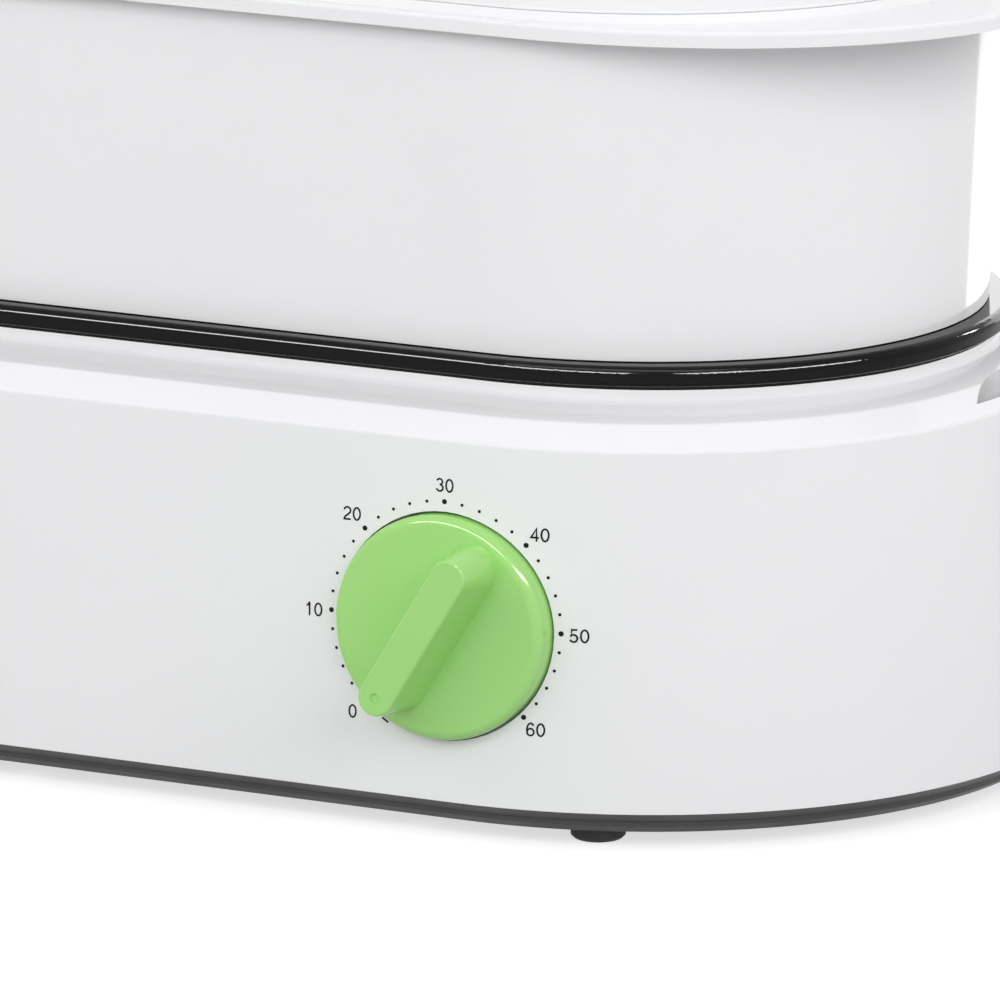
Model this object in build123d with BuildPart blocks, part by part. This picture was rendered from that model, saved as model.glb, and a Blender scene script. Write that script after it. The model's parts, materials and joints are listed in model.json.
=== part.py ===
from build123d import *
import os
from math import atan, cos, radians, sin

os.makedirs("parts", exist_ok=True)

# Electric food steamer. Millimetres, +Z up, +X to the right, the front faces -Y.
# The origin is on the table, midway between the four feet.

# ---------------------------------------------------------------- driving dimensions
# Every outline is an oval: two straight sides closed by half ellipses, written as
# (half length of the straight sides, reach of an end, half depth).
BASE_STRAIGHT = 75.0
BASE_REACH = 123.2
BASE_DEPTH = 120.4
NECK_IN_STRAIGHT = 0.6     # the neck is this much smaller than the shoulder's crease
NECK_IN_REACH = 10.1
NECK_IN_DEPTH = 14.8
TRAY_IN_STRAIGHT = 1.4     # straight sides shorter than the neck's
TRAY_OUT_REACH = 5.6       # overhang past the neck
TRAY_OUT_DEPTH = 6.1
BOWL_IN_STRAIGHT = 3.7
BOWL_OUT_REACH = 1.0
BOWL_IN_DEPTH = 0.1
RIM_OUT_STRAIGHT = 7.6
RIM_OUT_REACH = 21.0
RIM_OUT_DEPTH = 7.9

# shells and gaps
SKIN = 2.5                 # wall of the base, tank and bowls
LIFT_GAP = 0.3             # between pieces that lift off each other
NEST_GAP = 0.5             # around a skirt in its seat
FIT_GAP = 0.4              # around a fixed piece in its seat
RUNNING_GAP = 0.05         # shaft in its bearings, on the radius

# bottom plate and feet
FOOT_RADIUS = 7.5
FOOT_HEIGHT = 4.15
FOOT_FROM_END = 90.2       # foot's centre in from the base's end, and from its side
FOOT_FROM_SIDE = 21.4
FOOT_STEM_RADIUS = 3.0
FOOT_STEM_GAP = 0.1
FOOT_HEAD_RADIUS = 4.2
FOOT_HEAD_HEIGHT = 1.6
FOOT_CHAMFER = 0.8
PLATE_HEIGHT = 6.55
PLATE_UNDERCUT = 6.5       # how far the plate narrows towards the table
PLATE_FLOOR = 2.4
PLATE_RIM = 4.0
PLATE_LIP_HEIGHT = 4.0
PLATE_LIP_WALL = 1.8
VENT_LENGTH = 30.0
VENT_WIDTH = 3.0
VENT_PITCH = 8.0
VENT_COUNT = 6
VENT_X = 120.0

# housing
HOUSING_HEIGHT = 99.7
WALL_LEAN = 3.1            # the wall narrows by this much over its height
SHOULDER_RUN = 10.0
SHOULDER_RISE = 5.2
NECK_FOOT_RISE = 2.4
NECK_HEIGHT = 4.0
WALL_ROUND = 1.2
CREASE_ROUND = 2.5
NECK_ROUND = 2.0
NECK_LIP = 8.5             # inward lip that carries the tank
NECK_LIP_THICKNESS = 2.5
BOSS_RADIUS = 4.0
BOSS_HEIGHT = 18.0
BOSS_X = 60.0
BOSS_INSET = 12.5
RIB_WIDTH = 2.4
RIB_EMBED = 1.3            # the ribs end this far inside the wall's foot

# water inlet scoops, one at each end
SCOOP_HALF_WIDTH = 27.0
SCOOP_DEPTH = 8.5          # how far the scoop cuts into the shoulder
SCOOP_EDGE = 4.5           # shoulder left outside the scoop
SCOOP_WALL = 1.8
CHANNEL_HALF_WIDTH = 26.0
CHANNEL_TOP_DROP = 4.5     # channel walls below the wall's top edge
CHANNEL_DEPTH = 12.0

# water tank
TANK_WALL = 2.2
TUB_STRAIGHT = 58.0
TUB_REACH = 84.0
TUB_LEAN = 4.0
TUB_FLOOR_HEIGHT = 42.0    # underside of the tank above the table
TUB_FLOOR = 3.0
TUB_SHOULDER_DROP = 34.0   # where the tank widens, below the neck's top
TUB_MOUTH_DROP = 22.0

# heater in the tank floor
HEATER_FROM_WALL = 15.9    # edge of its hole to the tank's inside, at the front and back
GASKET_LIP = 1.8
GASKET_FLANGE = 5.0
GASKET_THICKNESS = 1.5
DISH_THICKNESS = 1.0
DISH_DEPTH = 6.5
DISH_CORNER = 2.0
ELEMENT_FROM_CLAMP = 7.0   # middle of the tube in from the clamp's opening
ELEMENT_TUBE_RADIUS = 3.3
ELEMENT_GAP_ANGLE = 50.0
ELEMENT_PIN_DROP = 9.0
CLAMP_THICKNESS = 2.0
CLAMP_FROM_STUD = 4.5      # edge of its opening in from the studs
CLAMP_OVERHANG = 9.0
STUD_RADIUS = 2.0
STUD_FROM_HOLE = 6.5       # studs in from the edge of the hole
STUD_LENGTH = 9.0
STUD_COUNT = 3
NUT_HEIGHT = 3.0
NUT_RADIUS = 4.2
THERMOSTAT_RADIUS = 8.0
THERMOSTAT_HEIGHT = 9.0
THERMOSTAT_EDGE = 1.0
TAB_THICKNESS = 0.8
TAB_WIDTH = 4.0
TAB_LENGTH = 6.0
FUSE_RADIUS = 2.6
FUSE_LENGTH = 24.0
SLEEVE_FROM_WALL = 3.9     # to the tank's inside, at the front and back
SLEEVE_WALL = 2.0
SLEEVE_HEIGHT = 40.0
SLEEVE_PORT_WIDTH = 14.0
SLEEVE_PORT_HEIGHT = 7.0

# mains side
INLET_X = -25.0
INLET_HEIGHT = 28.0
INLET_BORE_RADIUS = 4.0
INLET_NECK_WIDTH = 12.0    # square, so the gland can't turn in the wall
INLET_FLANGE_RADIUS = 9.5
INLET_FLANGE = 2.0
GLAND_NUT_RADIUS = 9.0
GLAND_NUT_LENGTH = 6.0
GLAND_RADIUS = 7.5
GLAND_ROUND = 2.5
BLOCK_LENGTH = 34.0
BLOCK_WIDTH = 18.0
BLOCK_HEIGHT = 15.0
BLOCK_FROM_SIDE = 32.4
BLOCK_WAYS = 3
BLOCK_WAY_RADIUS = 2.0
BLOCK_EDGE = 1.0

# timer and knob
DIAL_X = 71.1
DIAL_HEIGHT = 59.2
SHAFT_RADIUS = 3.0
SHAFT_FLAT = 2.2           # flat of the D, from the shaft's axis
SHAFT_HOLE_RADIUS = 5.0
POCKET_DEPTH = 5.5         # round pocket in the wall that the knob sits in
POCKET_GAP = 0.65          # around the knob's side
TIMER_BOSS_HEIGHT = 2.5
TIMER_PLATE = 1.2
TIMER_PLATE_WIDTH = 46.0
TIMER_PLATE_HEIGHT = 38.0
TIMER_CORNER = 4.0
TIMER_SCREW_X = 16.0
TIMER_SCREW_RADIUS = 1.5
TIMER_SCREW_HEAD_RADIUS = 3.0
TIMER_SCREW_HEAD = 1.5
TIMER_BOSS_RADIUS = 4.0
CASE_WIDTH = 42.0
CASE_HEIGHT = 36.0
CASE_DEPTH = 25.0
CASE_WALL = 1.6
CASE_BEARING = 5.0
CAM_RADIUS = 11.0
CAM_THICKNESS = 5.0
CAM_NOTCH_RADIUS = 3.0
CONTACT_THICKNESS = 0.6
CONTACT_WIDTH = 5.0
CONTACT_SPACING = 1.3
BELL_RADIUS = 19.0
BELL_DEPTH = 7.0
BELL_WALL = 1.0
BELL_ROUND = 2.5
BELL_GAP = 2.0
BELL_SCREW_RADIUS = 1.5
BELL_POST_RADIUS = 3.0
TIMER_CLEARANCE = 5.0      # bell to the tank

KNOB_RADIUS = 30.9
KNOB_GAP = 0.6             # knob to the pocket's floor
KNOB_FACE = 4.6            # its face stands this far out of the wall
KNOB_EDGE = 2.6
KNOB_TOP_WALL = 2.2
KNOB_SKIRT_WALL = 2.6
KNOB_BOSS_RADIUS = 4.6
KNOB_BORE_DEPTH = 16.0
KNOB_POINTS_AT = 239.0     # degrees from +X, seen from the front, with the timer off
GRIP_HEIGHT = 16.4
GRIP_BASE_LENGTH = 53.4
GRIP_BASE_WIDTH = 14.4
GRIP_TOP_LENGTH = 50.8
GRIP_TOP_WIDTH = 10.0
GRIP_SHIFT = 0.8           # its middle lies this far from the shaft, away from its tip
GRIP_WALL = 2.0
GRIP_ROUND = 0.7
DIMPLE_RADIUS = 1.4
DIMPLE_DEPTH = 0.5
CLIP_THICKNESS = 0.4
CLIP_WIDTH = 3.0
CLIP_LENGTH = 9.0

# drip tray
TRAY_RIM_HEIGHT = 6.6
TRAY_RIM_ROUND = 2.4
TRAY_FOOT_HEIGHT = 1.2
TRAY_FOOT_INSET = 2.6
TRAY_SEAT = 2.4
TRAY_DISH_DEPTH = 14.0
TRAY_DISH_GAP = 2.0        # dish to the tank's mouth
TRAY_WALL = 2.0
CHIMNEY_RADIUS = 42.0
CHIMNEY_HEIGHT = 11.0

# steaming bowls
BOWL_WALL = 2.4
BOWL_FLARE = 3.7           # the wall widens by this much up to the rim
TIER_PITCH = 95.5
BOWL_SKIRT_INSET = 2.0
BOWL_SKIRT_HEIGHT = 3.6
BOWL_LEDGE = 8.0
BOWL_LEDGE_THICKNESS = 2.4
RIM_DROP = 6.1             # underside of the rim below the next piece's wall
RIM_BAND = 4.3
RIM_PLATE = 2.4
RIM_ROUND = 1.2
RIM_CROWN_INSET = 2.0
GRATE_THICKNESS = 2.4
GRATE_SLOT_LENGTH = 26.0
GRATE_SLOT_WIDTH = 3.6
GRATE_PITCH_X = 34.0
GRATE_PITCH_Y = 9.0
GRATE_ROWS = 17
GRATE_COLUMNS = 7
GRATE_BORDER = 5.0

# lid
LID_WALL = 2.2
LID_SIDE_HEIGHT = 36.0
LID_HEIGHT = 48.0
LID_SIDE_LEAN = 6.0
LID_TOP_INSET = 34.0
LID_ROUND = 9.0
LID_SKIRT_HEIGHT = 3.6
LID_VENT_LENGTH = 16.0
LID_VENT_WIDTH = 3.4
LID_VENT_X = 78.0
LID_VENT_PITCH = 8.0
LID_VENT_COUNT = 3
HANDLE_SPAN = 84.0
HANDLE_POST_LENGTH = 16.0
HANDLE_WIDTH = 18.0
HANDLE_HEIGHT = 20.0
HANDLE_BAR = 7.0
HANDLE_CORNER = 8.5
HANDLE_ROUND = 3.0
HANDLE_SCREW_RADIUS = 1.8
HANDLE_SCREW_HEAD_RADIUS = 3.6
HANDLE_SCREW_HEAD = 1.6
HANDLE_SCREW_REACH = 9.0

# plate screws
SCREW_RADIUS = 1.6
SCREW_HEAD_RADIUS = 3.0
SCREW_HEAD = 1.4
SCREW_REACH = 12.0
SCREW_GAP = 0.1
RECESS_LENGTH = 3.2        # cross recess in the screw heads
RECESS_WIDTH = 0.8
RECESS_DEPTH = 0.9

# ---------------------------------------------------------------- outlines and levels
BEYOND = 1.0               # how far a cut runs past a face


def inset(outline, by):
    """The same oval with its sides and ends moved inwards by the given amount."""
    straight, reach, depth = outline
    return straight, reach - by, depth - by


def end_x(outline, y=0.0):
    """How far out the oval's right-hand end lies at this y."""
    straight, reach, depth = outline
    return straight + reach * (1 - (y / depth) ** 2) ** 0.5


wall_foot = (BASE_STRAIGHT, BASE_REACH, BASE_DEPTH)
wall_head = inset(wall_foot, WALL_LEAN)
crease = inset(wall_head, SHOULDER_RUN)
neck = (crease[0] - NECK_IN_STRAIGHT, crease[1] - NECK_IN_REACH, crease[2] - NECK_IN_DEPTH)
tray_rim = (neck[0] - TRAY_IN_STRAIGHT, neck[1] + TRAY_OUT_REACH, neck[2] + TRAY_OUT_DEPTH)
bowl_foot = (neck[0] - BOWL_IN_STRAIGHT, neck[1] + BOWL_OUT_REACH, neck[2] - BOWL_IN_DEPTH)
bowl_head = inset(bowl_foot, -BOWL_FLARE)
rim = (neck[0] + RIM_OUT_STRAIGHT, neck[1] + RIM_OUT_REACH, neck[2] + RIM_OUT_DEPTH)

PLATE_TOP = FOOT_HEIGHT + PLATE_HEIGHT
PLATE_INSIDE = FOOT_HEIGHT + PLATE_FLOOR
WALL_TOP = PLATE_TOP + HOUSING_HEIGHT
CREASE_Z = WALL_TOP + SHOULDER_RISE
NECK_FOOT_Z = CREASE_Z + NECK_FOOT_RISE
NECK_TOP = NECK_FOOT_Z + NECK_HEIGHT
TANK_SEAT = NECK_TOP - SKIN
TRAY_BOTTOM = NECK_TOP + LIFT_GAP
TRAY_TOP = TRAY_BOTTOM + TRAY_RIM_HEIGHT
SEAT_TOP = TRAY_BOTTOM + TRAY_SEAT
TUB_INSIDE = TUB_FLOOR_HEIGHT + TUB_FLOOR

# ---------------------------------------------------------------- helpers


def oval(outline):
    """Face of an oval outline, on the XY plane."""
    straight, reach, depth = outline
    with BuildSketch() as shape:
        with BuildLine():
            Line((-straight, -depth), (straight, -depth))
            EllipticalCenterArc((straight, 0), reach, depth, start_angle=-90, arc_size=180)
            Line((straight, depth), (-straight, depth))
            EllipticalCenterArc((-straight, 0), reach, depth, start_angle=90, arc_size=180)
        make_face()
    return shape.sketch


def oval_prism(outline, bottom, top):
    """Upright body of one oval, from one height to another."""
    with BuildPart() as prism:
        with BuildSketch(Plane.XY.offset(bottom)):
            add(oval(outline))
        extrude(amount=top - bottom)
    return prism.part


def oval_loft(*levels):
    """Body through (height, outline) levels, lowest first, with straight sides between."""
    with BuildPart() as body:
        for height, outline in levels:
            with BuildSketch(Plane.XY.offset(height)):
                add(oval(outline))
        loft(ruled=True)
    return body.part


def disc(radius, bottom, top):
    """Upright round body on the Z axis."""
    with BuildPart() as body:
        with BuildSketch(Plane.XY.offset(bottom)):
            Circle(radius)
        extrude(amount=top - bottom)
    return body.part


def cross_recess(places, height, depth):
    """Cross-shaped cuts for a screwdriver, at these places, from a height upwards."""
    with BuildPart() as cuts:
        with BuildSketch(Plane.XY.offset(height)):
            with Locations(*places):
                Rectangle(RECESS_LENGTH, RECESS_WIDTH)
                Rectangle(RECESS_WIDTH, RECESS_LENGTH)
        extrude(amount=depth)
    return cuts.part


def edges_at(part, height):
    """Edges that lie level at this height."""
    return part.edges().filter_by(
        lambda edge: abs(edge.center().Z - height) < 0.01 and edge.bounding_box().size.Z < 0.01
    )


# ---------------------------------------------------------------- dial frame
# The dial plane lies on the front wall, tilted back with it. Its x runs right, its y up
# the wall, and its z out of the wall, towards the user.
LEAN_ANGLE = atan(WALL_LEAN / HOUSING_HEIGHT)
DIAL_Y = -(BASE_DEPTH - WALL_LEAN * (DIAL_HEIGHT - PLATE_TOP) / HOUSING_HEIGHT)
dial = Plane(
    origin=(DIAL_X, DIAL_Y, DIAL_HEIGHT),
    x_dir=(1, 0, 0),
    z_dir=(0, -cos(LEAN_ANGLE), sin(LEAN_ANGLE)),
)
timer_holes = [(-TIMER_SCREW_X, 0), (TIMER_SCREW_X, 0)]
POCKET_RADIUS = KNOB_RADIUS + POCKET_GAP
KNOB_UNDER = KNOB_GAP - POCKET_DEPTH
GRIP_TOP = KNOB_FACE + GRIP_HEIGHT
GRIP_TIP_AT = (GRIP_TOP_LENGTH - GRIP_TOP_WIDTH) / 2 - GRIP_SHIFT   # centre of its round tip
PLATE_FRONT = -POCKET_DEPTH - SKIN - TIMER_BOSS_HEIGHT
CASE_FRONT = PLATE_FRONT - TIMER_PLATE
CASE_BACK = CASE_FRONT - CASE_DEPTH
BELL_FRONT = CASE_BACK - BELL_GAP
BELL_BACK = BELL_FRONT - BELL_DEPTH
BELL_SCREW_BACK = BELL_BACK - TIMER_SCREW_HEAD
# The tank's front stays clear of the bell's screw, whose lower edge reaches furthest back.
TUB_DEPTH = -DIAL_Y + BELL_SCREW_BACK - BELL_RADIUS * sin(LEAN_ANGLE) - TIMER_CLEARANCE
tub_mouth = inset(neck, NECK_LIP + FIT_GAP)
tub_head = (TUB_STRAIGHT, TUB_REACH, TUB_DEPTH)
tub_foot = inset(tub_head, TUB_LEAN)
floor_half_depth = tub_foot[2] - TANK_WALL
SLEEVE_RADIUS = floor_half_depth - SLEEVE_FROM_WALL
HEATER_HOLE_RADIUS = floor_half_depth - HEATER_FROM_WALL
STUD_RING_RADIUS = HEATER_HOLE_RADIUS - STUD_FROM_HOLE
CLAMP_INNER_RADIUS = STUD_RING_RADIUS - CLAMP_FROM_STUD
ELEMENT_RING_RADIUS = CLAMP_INNER_RADIUS - ELEMENT_FROM_CLAMP

# screw bosses: x, y and the direction of the rib that ties each one to the wall
boss_y = BASE_DEPTH - BOSS_INSET
boss_x = end_x(wall_foot) - BOSS_INSET
bosses = [
    (-BOSS_X, -boss_y, 270), (BOSS_X, -boss_y, 270), (-BOSS_X, boss_y, 90), (BOSS_X, boss_y, 90),
    (-boss_x, 0, 180), (boss_x, 0, 0),
]
boss_places = [(x, y) for x, y, turn in bosses]
foot_x = end_x(wall_foot) - FOOT_FROM_END
foot_y = BASE_DEPTH - FOOT_FROM_SIDE
foot_places = [(-foot_x, -foot_y), (foot_x, -foot_y), (-foot_x, foot_y), (foot_x, foot_y)]


def boss_section(gap=0.0):
    """Plan of the screw bosses and their ribs, grown by a gap."""
    with BuildSketch() as section:
        for x, y, turn in bosses:
            with Locations((x, y)):
                Circle(BOSS_RADIUS + gap)
                Rectangle(BOSS_INSET - RIB_EMBED, RIB_WIDTH + 2 * gap, rotation=turn,
                          align=(Align.MIN, Align.CENTER))
    return section.sketch


# ---------------------------------------------------------------- bottom plate
with BuildPart() as bottom_plate:
    add(oval_loft((FOOT_HEIGHT, inset(wall_foot, PLATE_UNDERCUT)), (PLATE_TOP, wall_foot)))
    add(oval_prism(inset(wall_foot, SKIN + FIT_GAP), PLATE_INSIDE, PLATE_TOP + PLATE_LIP_HEIGHT))
    add(oval_prism(inset(wall_foot, PLATE_UNDERCUT + PLATE_RIM), PLATE_INSIDE, PLATE_TOP),
        mode=Mode.SUBTRACT)
    add(oval_prism(inset(wall_foot, SKIN + FIT_GAP + PLATE_LIP_WALL), PLATE_TOP,
                   PLATE_TOP + PLATE_LIP_HEIGHT + BEYOND),
        mode=Mode.SUBTRACT)
    # the lip stops short of the housing's screw bosses, which stand on the plate
    with BuildSketch(Plane.XY.offset(PLATE_TOP)):
        add(boss_section(FIT_GAP))
    extrude(amount=PLATE_LIP_HEIGHT + BEYOND, mode=Mode.SUBTRACT)
    with BuildSketch(Plane.XY.offset(PLATE_INSIDE)):
        with Locations(*boss_places):
            Circle(BOSS_RADIUS)
    extrude(amount=PLATE_TOP - PLATE_INSIDE)
    with Locations(*[Location((x, y, FOOT_HEIGHT)) for x, y in boss_places]):
        with Locations(Location((0, 0, 0), (180, 0, 0))):
            CounterBoreHole(SCREW_RADIUS + SCREW_GAP, SCREW_HEAD_RADIUS + SCREW_GAP,
                            SCREW_HEAD + FIT_GAP, PLATE_HEIGHT + BEYOND)
    with Locations(*[Location((x, y, PLATE_INSIDE)) for x, y in foot_places]):
        Hole(FOOT_STEM_RADIUS + FOOT_STEM_GAP, PLATE_FLOOR)
    for side in (-1, 1):
        with BuildSketch(Plane.XY.offset(FOOT_HEIGHT - BEYOND)):
            with Locations((side * VENT_X, 0)):
                with GridLocations(0, VENT_PITCH, 1, VENT_COUNT):
                    SlotOverall(VENT_LENGTH, VENT_WIDTH)
        extrude(amount=PLATE_FLOOR + 2 * BEYOND, mode=Mode.SUBTRACT)
bottom_plate.part.label = "bottom_plate"
export_step(bottom_plate.part, "parts/bottom_plate.step")

# ---------------------------------------------------------------- feet
with BuildPart() as feet:
    with BuildSketch():
        with Locations(*foot_places):
            Circle(FOOT_RADIUS)
    extrude(amount=FOOT_HEIGHT)
    chamfer(feet.edges().group_by(Axis.Z)[0], FOOT_CHAMFER)
    with BuildSketch(Plane.XY.offset(FOOT_HEIGHT)):
        with Locations(*foot_places):
            Circle(FOOT_STEM_RADIUS)
    extrude(amount=PLATE_FLOOR)
    with BuildSketch(Plane.XY.offset(PLATE_INSIDE)):
        with Locations(*foot_places):
            Circle(FOOT_HEAD_RADIUS)
    extrude(amount=FOOT_HEAD_HEIGHT)
feet.part.label = "feet"
export_step(feet.part, "parts/feet.step")

# ---------------------------------------------------------------- plate screws
HEAD_Z = FOOT_HEIGHT + FIT_GAP
with BuildPart() as plate_screws:
    with BuildSketch(Plane.XY.offset(HEAD_Z)):
        with Locations(*boss_places):
            Circle(SCREW_HEAD_RADIUS)
    extrude(amount=SCREW_HEAD)
    with BuildSketch(Plane.XY.offset(HEAD_Z + SCREW_HEAD)):
        with Locations(*boss_places):
            Circle(SCREW_RADIUS)
    extrude(amount=PLATE_TOP + SCREW_REACH - HEAD_Z - SCREW_HEAD)
    add(cross_recess(boss_places, HEAD_Z, RECESS_DEPTH), mode=Mode.SUBTRACT)
plate_screws.part.label = "plate_screws"
export_step(plate_screws.part, "parts/plate_screws.step")

# ---------------------------------------------------------------- housing
SCOOP_OUTER = end_x(wall_head) - SCOOP_EDGE
SCOOP_INNER = SCOOP_OUTER - SCOOP_DEPTH
LIP_UNDER = TANK_SEAT - NECK_LIP_THICKNESS
CHANNEL_TOP = WALL_TOP - CHANNEL_TOP_DROP


def scoop(side, grown_by):
    """Lens-shaped funnel at one end, curved along the wall outside."""
    corner = end_x(inset(wall_head, SCOOP_EDGE), SCOOP_HALF_WIDTH)
    width = SCOOP_HALF_WIDTH + grown_by
    with BuildPart() as cut:
        with BuildSketch(Plane.XY.offset(CHANNEL_TOP + FIT_GAP)):
            with BuildLine():
                ThreePointArc((side * corner, -width), (side * (SCOOP_OUTER + grown_by), 0),
                              (side * corner, width))
                ThreePointArc((side * corner, width), (side * (SCOOP_INNER - grown_by), 0),
                              (side * corner, -width))
            make_face()
        extrude(amount=NECK_TOP - CHANNEL_TOP - FIT_GAP)
    return cut.part


# walls of both funnels, ending inside the shoulder's thickness
with BuildPart() as funnels:
    add(scoop(1, SCOOP_WALL))
    add(scoop(-1, SCOOP_WALL))
    add(oval_loft((PLATE_TOP, inset(wall_foot, SKIN / 2)), (WALL_TOP - SKIN / 2, inset(wall_head, SKIN / 2)),
                  (CREASE_Z - SKIN / 2, inset(crease, SKIN / 2)), (NECK_TOP, inset(neck, SKIN))),
        mode=Mode.INTERSECT)


with BuildPart() as pocket_cup:
    with BuildSketch(dial.offset(-POCKET_DEPTH - SKIN)):
        Circle(POCKET_RADIUS + SKIN)
    extrude(amount=POCKET_DEPTH + SKIN)
    add(oval_loft((PLATE_TOP, inset(wall_foot, SKIN / 2)), (WALL_TOP, inset(wall_head, SKIN / 2))),
        mode=Mode.INTERSECT)

with BuildPart() as base_housing:
    add(oval_loft((PLATE_TOP, wall_foot), (WALL_TOP, wall_head), (CREASE_Z, crease),
                  (NECK_FOOT_Z, neck), (NECK_TOP, neck)))
    fillet(edges_at(base_housing.part, WALL_TOP), WALL_ROUND)
    fillet(edges_at(base_housing.part, CREASE_Z), CREASE_ROUND)
    fillet(edges_at(base_housing.part, NECK_FOOT_Z), NECK_ROUND)
    add(oval_loft((PLATE_TOP, inset(wall_foot, SKIN)), (WALL_TOP - SKIN / 2, inset(wall_head, SKIN)),
                  (CREASE_Z - SKIN, inset(crease, SKIN / 2)), (NECK_FOOT_Z - SKIN, neck),
                  (LIP_UNDER, inset(neck, SKIN))),
        mode=Mode.SUBTRACT)
    add(oval_prism(inset(neck, NECK_LIP), LIP_UNDER - BEYOND, NECK_TOP + BEYOND), mode=Mode.SUBTRACT)
    add(oval_prism(inset(neck, SKIN), TANK_SEAT, NECK_TOP + BEYOND), mode=Mode.SUBTRACT)
    add(funnels.part)
    add(scoop(1, 0), mode=Mode.SUBTRACT)
    add(scoop(-1, 0), mode=Mode.SUBTRACT)
    # screw bosses, tied to the wall by their ribs
    with BuildSketch(Plane.XY.offset(PLATE_TOP)):
        add(boss_section())
    extrude(amount=BOSS_HEIGHT)
    with BuildSketch(Plane.XY.offset(PLATE_TOP)):
        with Locations(*boss_places):
            Circle(SCREW_RADIUS)
    extrude(amount=SCREW_REACH + BEYOND, mode=Mode.SUBTRACT)
    # knob pocket, timer bosses behind it, the shaft's hole and the two screw holes
    add(pocket_cup.part)
    with BuildSketch(dial.offset(-POCKET_DEPTH)):
        Circle(POCKET_RADIUS)
    extrude(amount=POCKET_DEPTH + BEYOND, mode=Mode.SUBTRACT)
    with BuildSketch(dial.offset(-POCKET_DEPTH - SKIN)):
        with Locations(*timer_holes):
            Circle(TIMER_BOSS_RADIUS)
    extrude(amount=-TIMER_BOSS_HEIGHT)
    with BuildSketch(dial):
        Circle(SHAFT_HOLE_RADIUS)
        with Locations(*timer_holes):
            Circle(TIMER_SCREW_RADIUS + SCREW_GAP)
    extrude(amount=PLATE_FRONT - BEYOND, mode=Mode.SUBTRACT)
    # cord inlet
    with BuildSketch(Plane.XZ.offset(-BASE_DEPTH)):
        with Locations((INLET_X, INLET_HEIGHT)):
            Rectangle(INLET_NECK_WIDTH, INLET_NECK_WIDTH)
    extrude(amount=2 * SKIN + WALL_LEAN, mode=Mode.SUBTRACT)
base_housing.part.label = "base_housing"
export_step(base_housing.part, "parts/base_housing.step")

# ---------------------------------------------------------------- water tank
channel_end = inset(wall_head, SKIN + FIT_GAP)
CHANNEL_BOTTOM = CHANNEL_TOP - CHANNEL_DEPTH
TUB_SHOULDER_Z = NECK_TOP - TUB_SHOULDER_DROP
TUB_MOUTH_Z = NECK_TOP - TUB_MOUTH_DROP


def channel(smaller_by, bottom):
    """Bar right across the tank for both inlet channels, its ends shaped like the wall."""
    with BuildPart() as bar:
        with BuildSketch(Plane.XY.offset(bottom)):
            add(oval(inset(channel_end, smaller_by)))
            Rectangle(2 * end_x(channel_end), 2 * (CHANNEL_HALF_WIDTH - smaller_by),
                      mode=Mode.INTERSECT)
        extrude(amount=CHANNEL_TOP - bottom)
    return bar.part


with BuildPart() as water_tank:
    add(oval_loft((TUB_FLOOR_HEIGHT, tub_foot), (TUB_SHOULDER_Z, tub_head),
                  (TUB_MOUTH_Z, tub_mouth), (NECK_TOP, tub_mouth)))
    add(oval_prism(inset(neck, SKIN + FIT_GAP), TANK_SEAT, NECK_TOP))
    add(channel(0, CHANNEL_BOTTOM))
    add(oval_loft((TUB_INSIDE, inset(tub_foot, TANK_WALL)),
                  (TUB_SHOULDER_Z + TANK_WALL, inset(tub_head, TANK_WALL)),
                  (TUB_MOUTH_Z + TANK_WALL, inset(tub_mouth, TANK_WALL)),
                  (NECK_TOP + BEYOND, inset(tub_mouth, TANK_WALL))),
        mode=Mode.SUBTRACT)
    add(channel(TANK_WALL, CHANNEL_BOTTOM + TANK_WALL), mode=Mode.SUBTRACT)
    add(disc(HEATER_HOLE_RADIUS, TUB_FLOOR_HEIGHT - BEYOND, TUB_INSIDE + BEYOND), mode=Mode.SUBTRACT)
water_tank.part.label = "water_tank"
export_step(water_tank.part, "parts/water_tank.step")

# ---------------------------------------------------------------- heater
GASKET_TOP = TUB_INSIDE + GASKET_THICKNESS
DISH_BOTTOM = GASKET_TOP + DISH_THICKNESS - DISH_DEPTH
DISH_RADIUS = HEATER_HOLE_RADIUS - GASKET_LIP - FIT_GAP
FLANGE_RADIUS = HEATER_HOLE_RADIUS + GASKET_FLANGE

with BuildPart() as heater_gasket:
    add(disc(HEATER_HOLE_RADIUS, TUB_FLOOR_HEIGHT, GASKET_TOP))
    add(disc(FLANGE_RADIUS, TUB_INSIDE, GASKET_TOP))
    add(disc(HEATER_HOLE_RADIUS - GASKET_LIP, TUB_FLOOR_HEIGHT - BEYOND, GASKET_TOP + BEYOND),
        mode=Mode.SUBTRACT)
heater_gasket.part.label = "heater_gasket"
export_step(heater_gasket.part, "parts/heater_gasket.step")

with BuildPart() as heater_dish:
    add(disc(DISH_RADIUS, DISH_BOTTOM, GASKET_TOP + DISH_THICKNESS))
    fillet(heater_dish.edges().group_by(Axis.Z)[0], DISH_CORNER)
    add(disc(FLANGE_RADIUS, GASKET_TOP, GASKET_TOP + DISH_THICKNESS))
    add(disc(DISH_RADIUS - DISH_THICKNESS, DISH_BOTTOM + DISH_THICKNESS,
             GASKET_TOP + DISH_THICKNESS + BEYOND),
        mode=Mode.SUBTRACT)
    with BuildSketch(Plane.XY.offset(DISH_BOTTOM)):
        with PolarLocations(STUD_RING_RADIUS, STUD_COUNT):
            Circle(STUD_RADIUS)
    extrude(amount=-STUD_LENGTH)
heater_dish.part.label = "heater_dish"
export_step(heater_dish.part, "parts/heater_dish.step")

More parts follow.
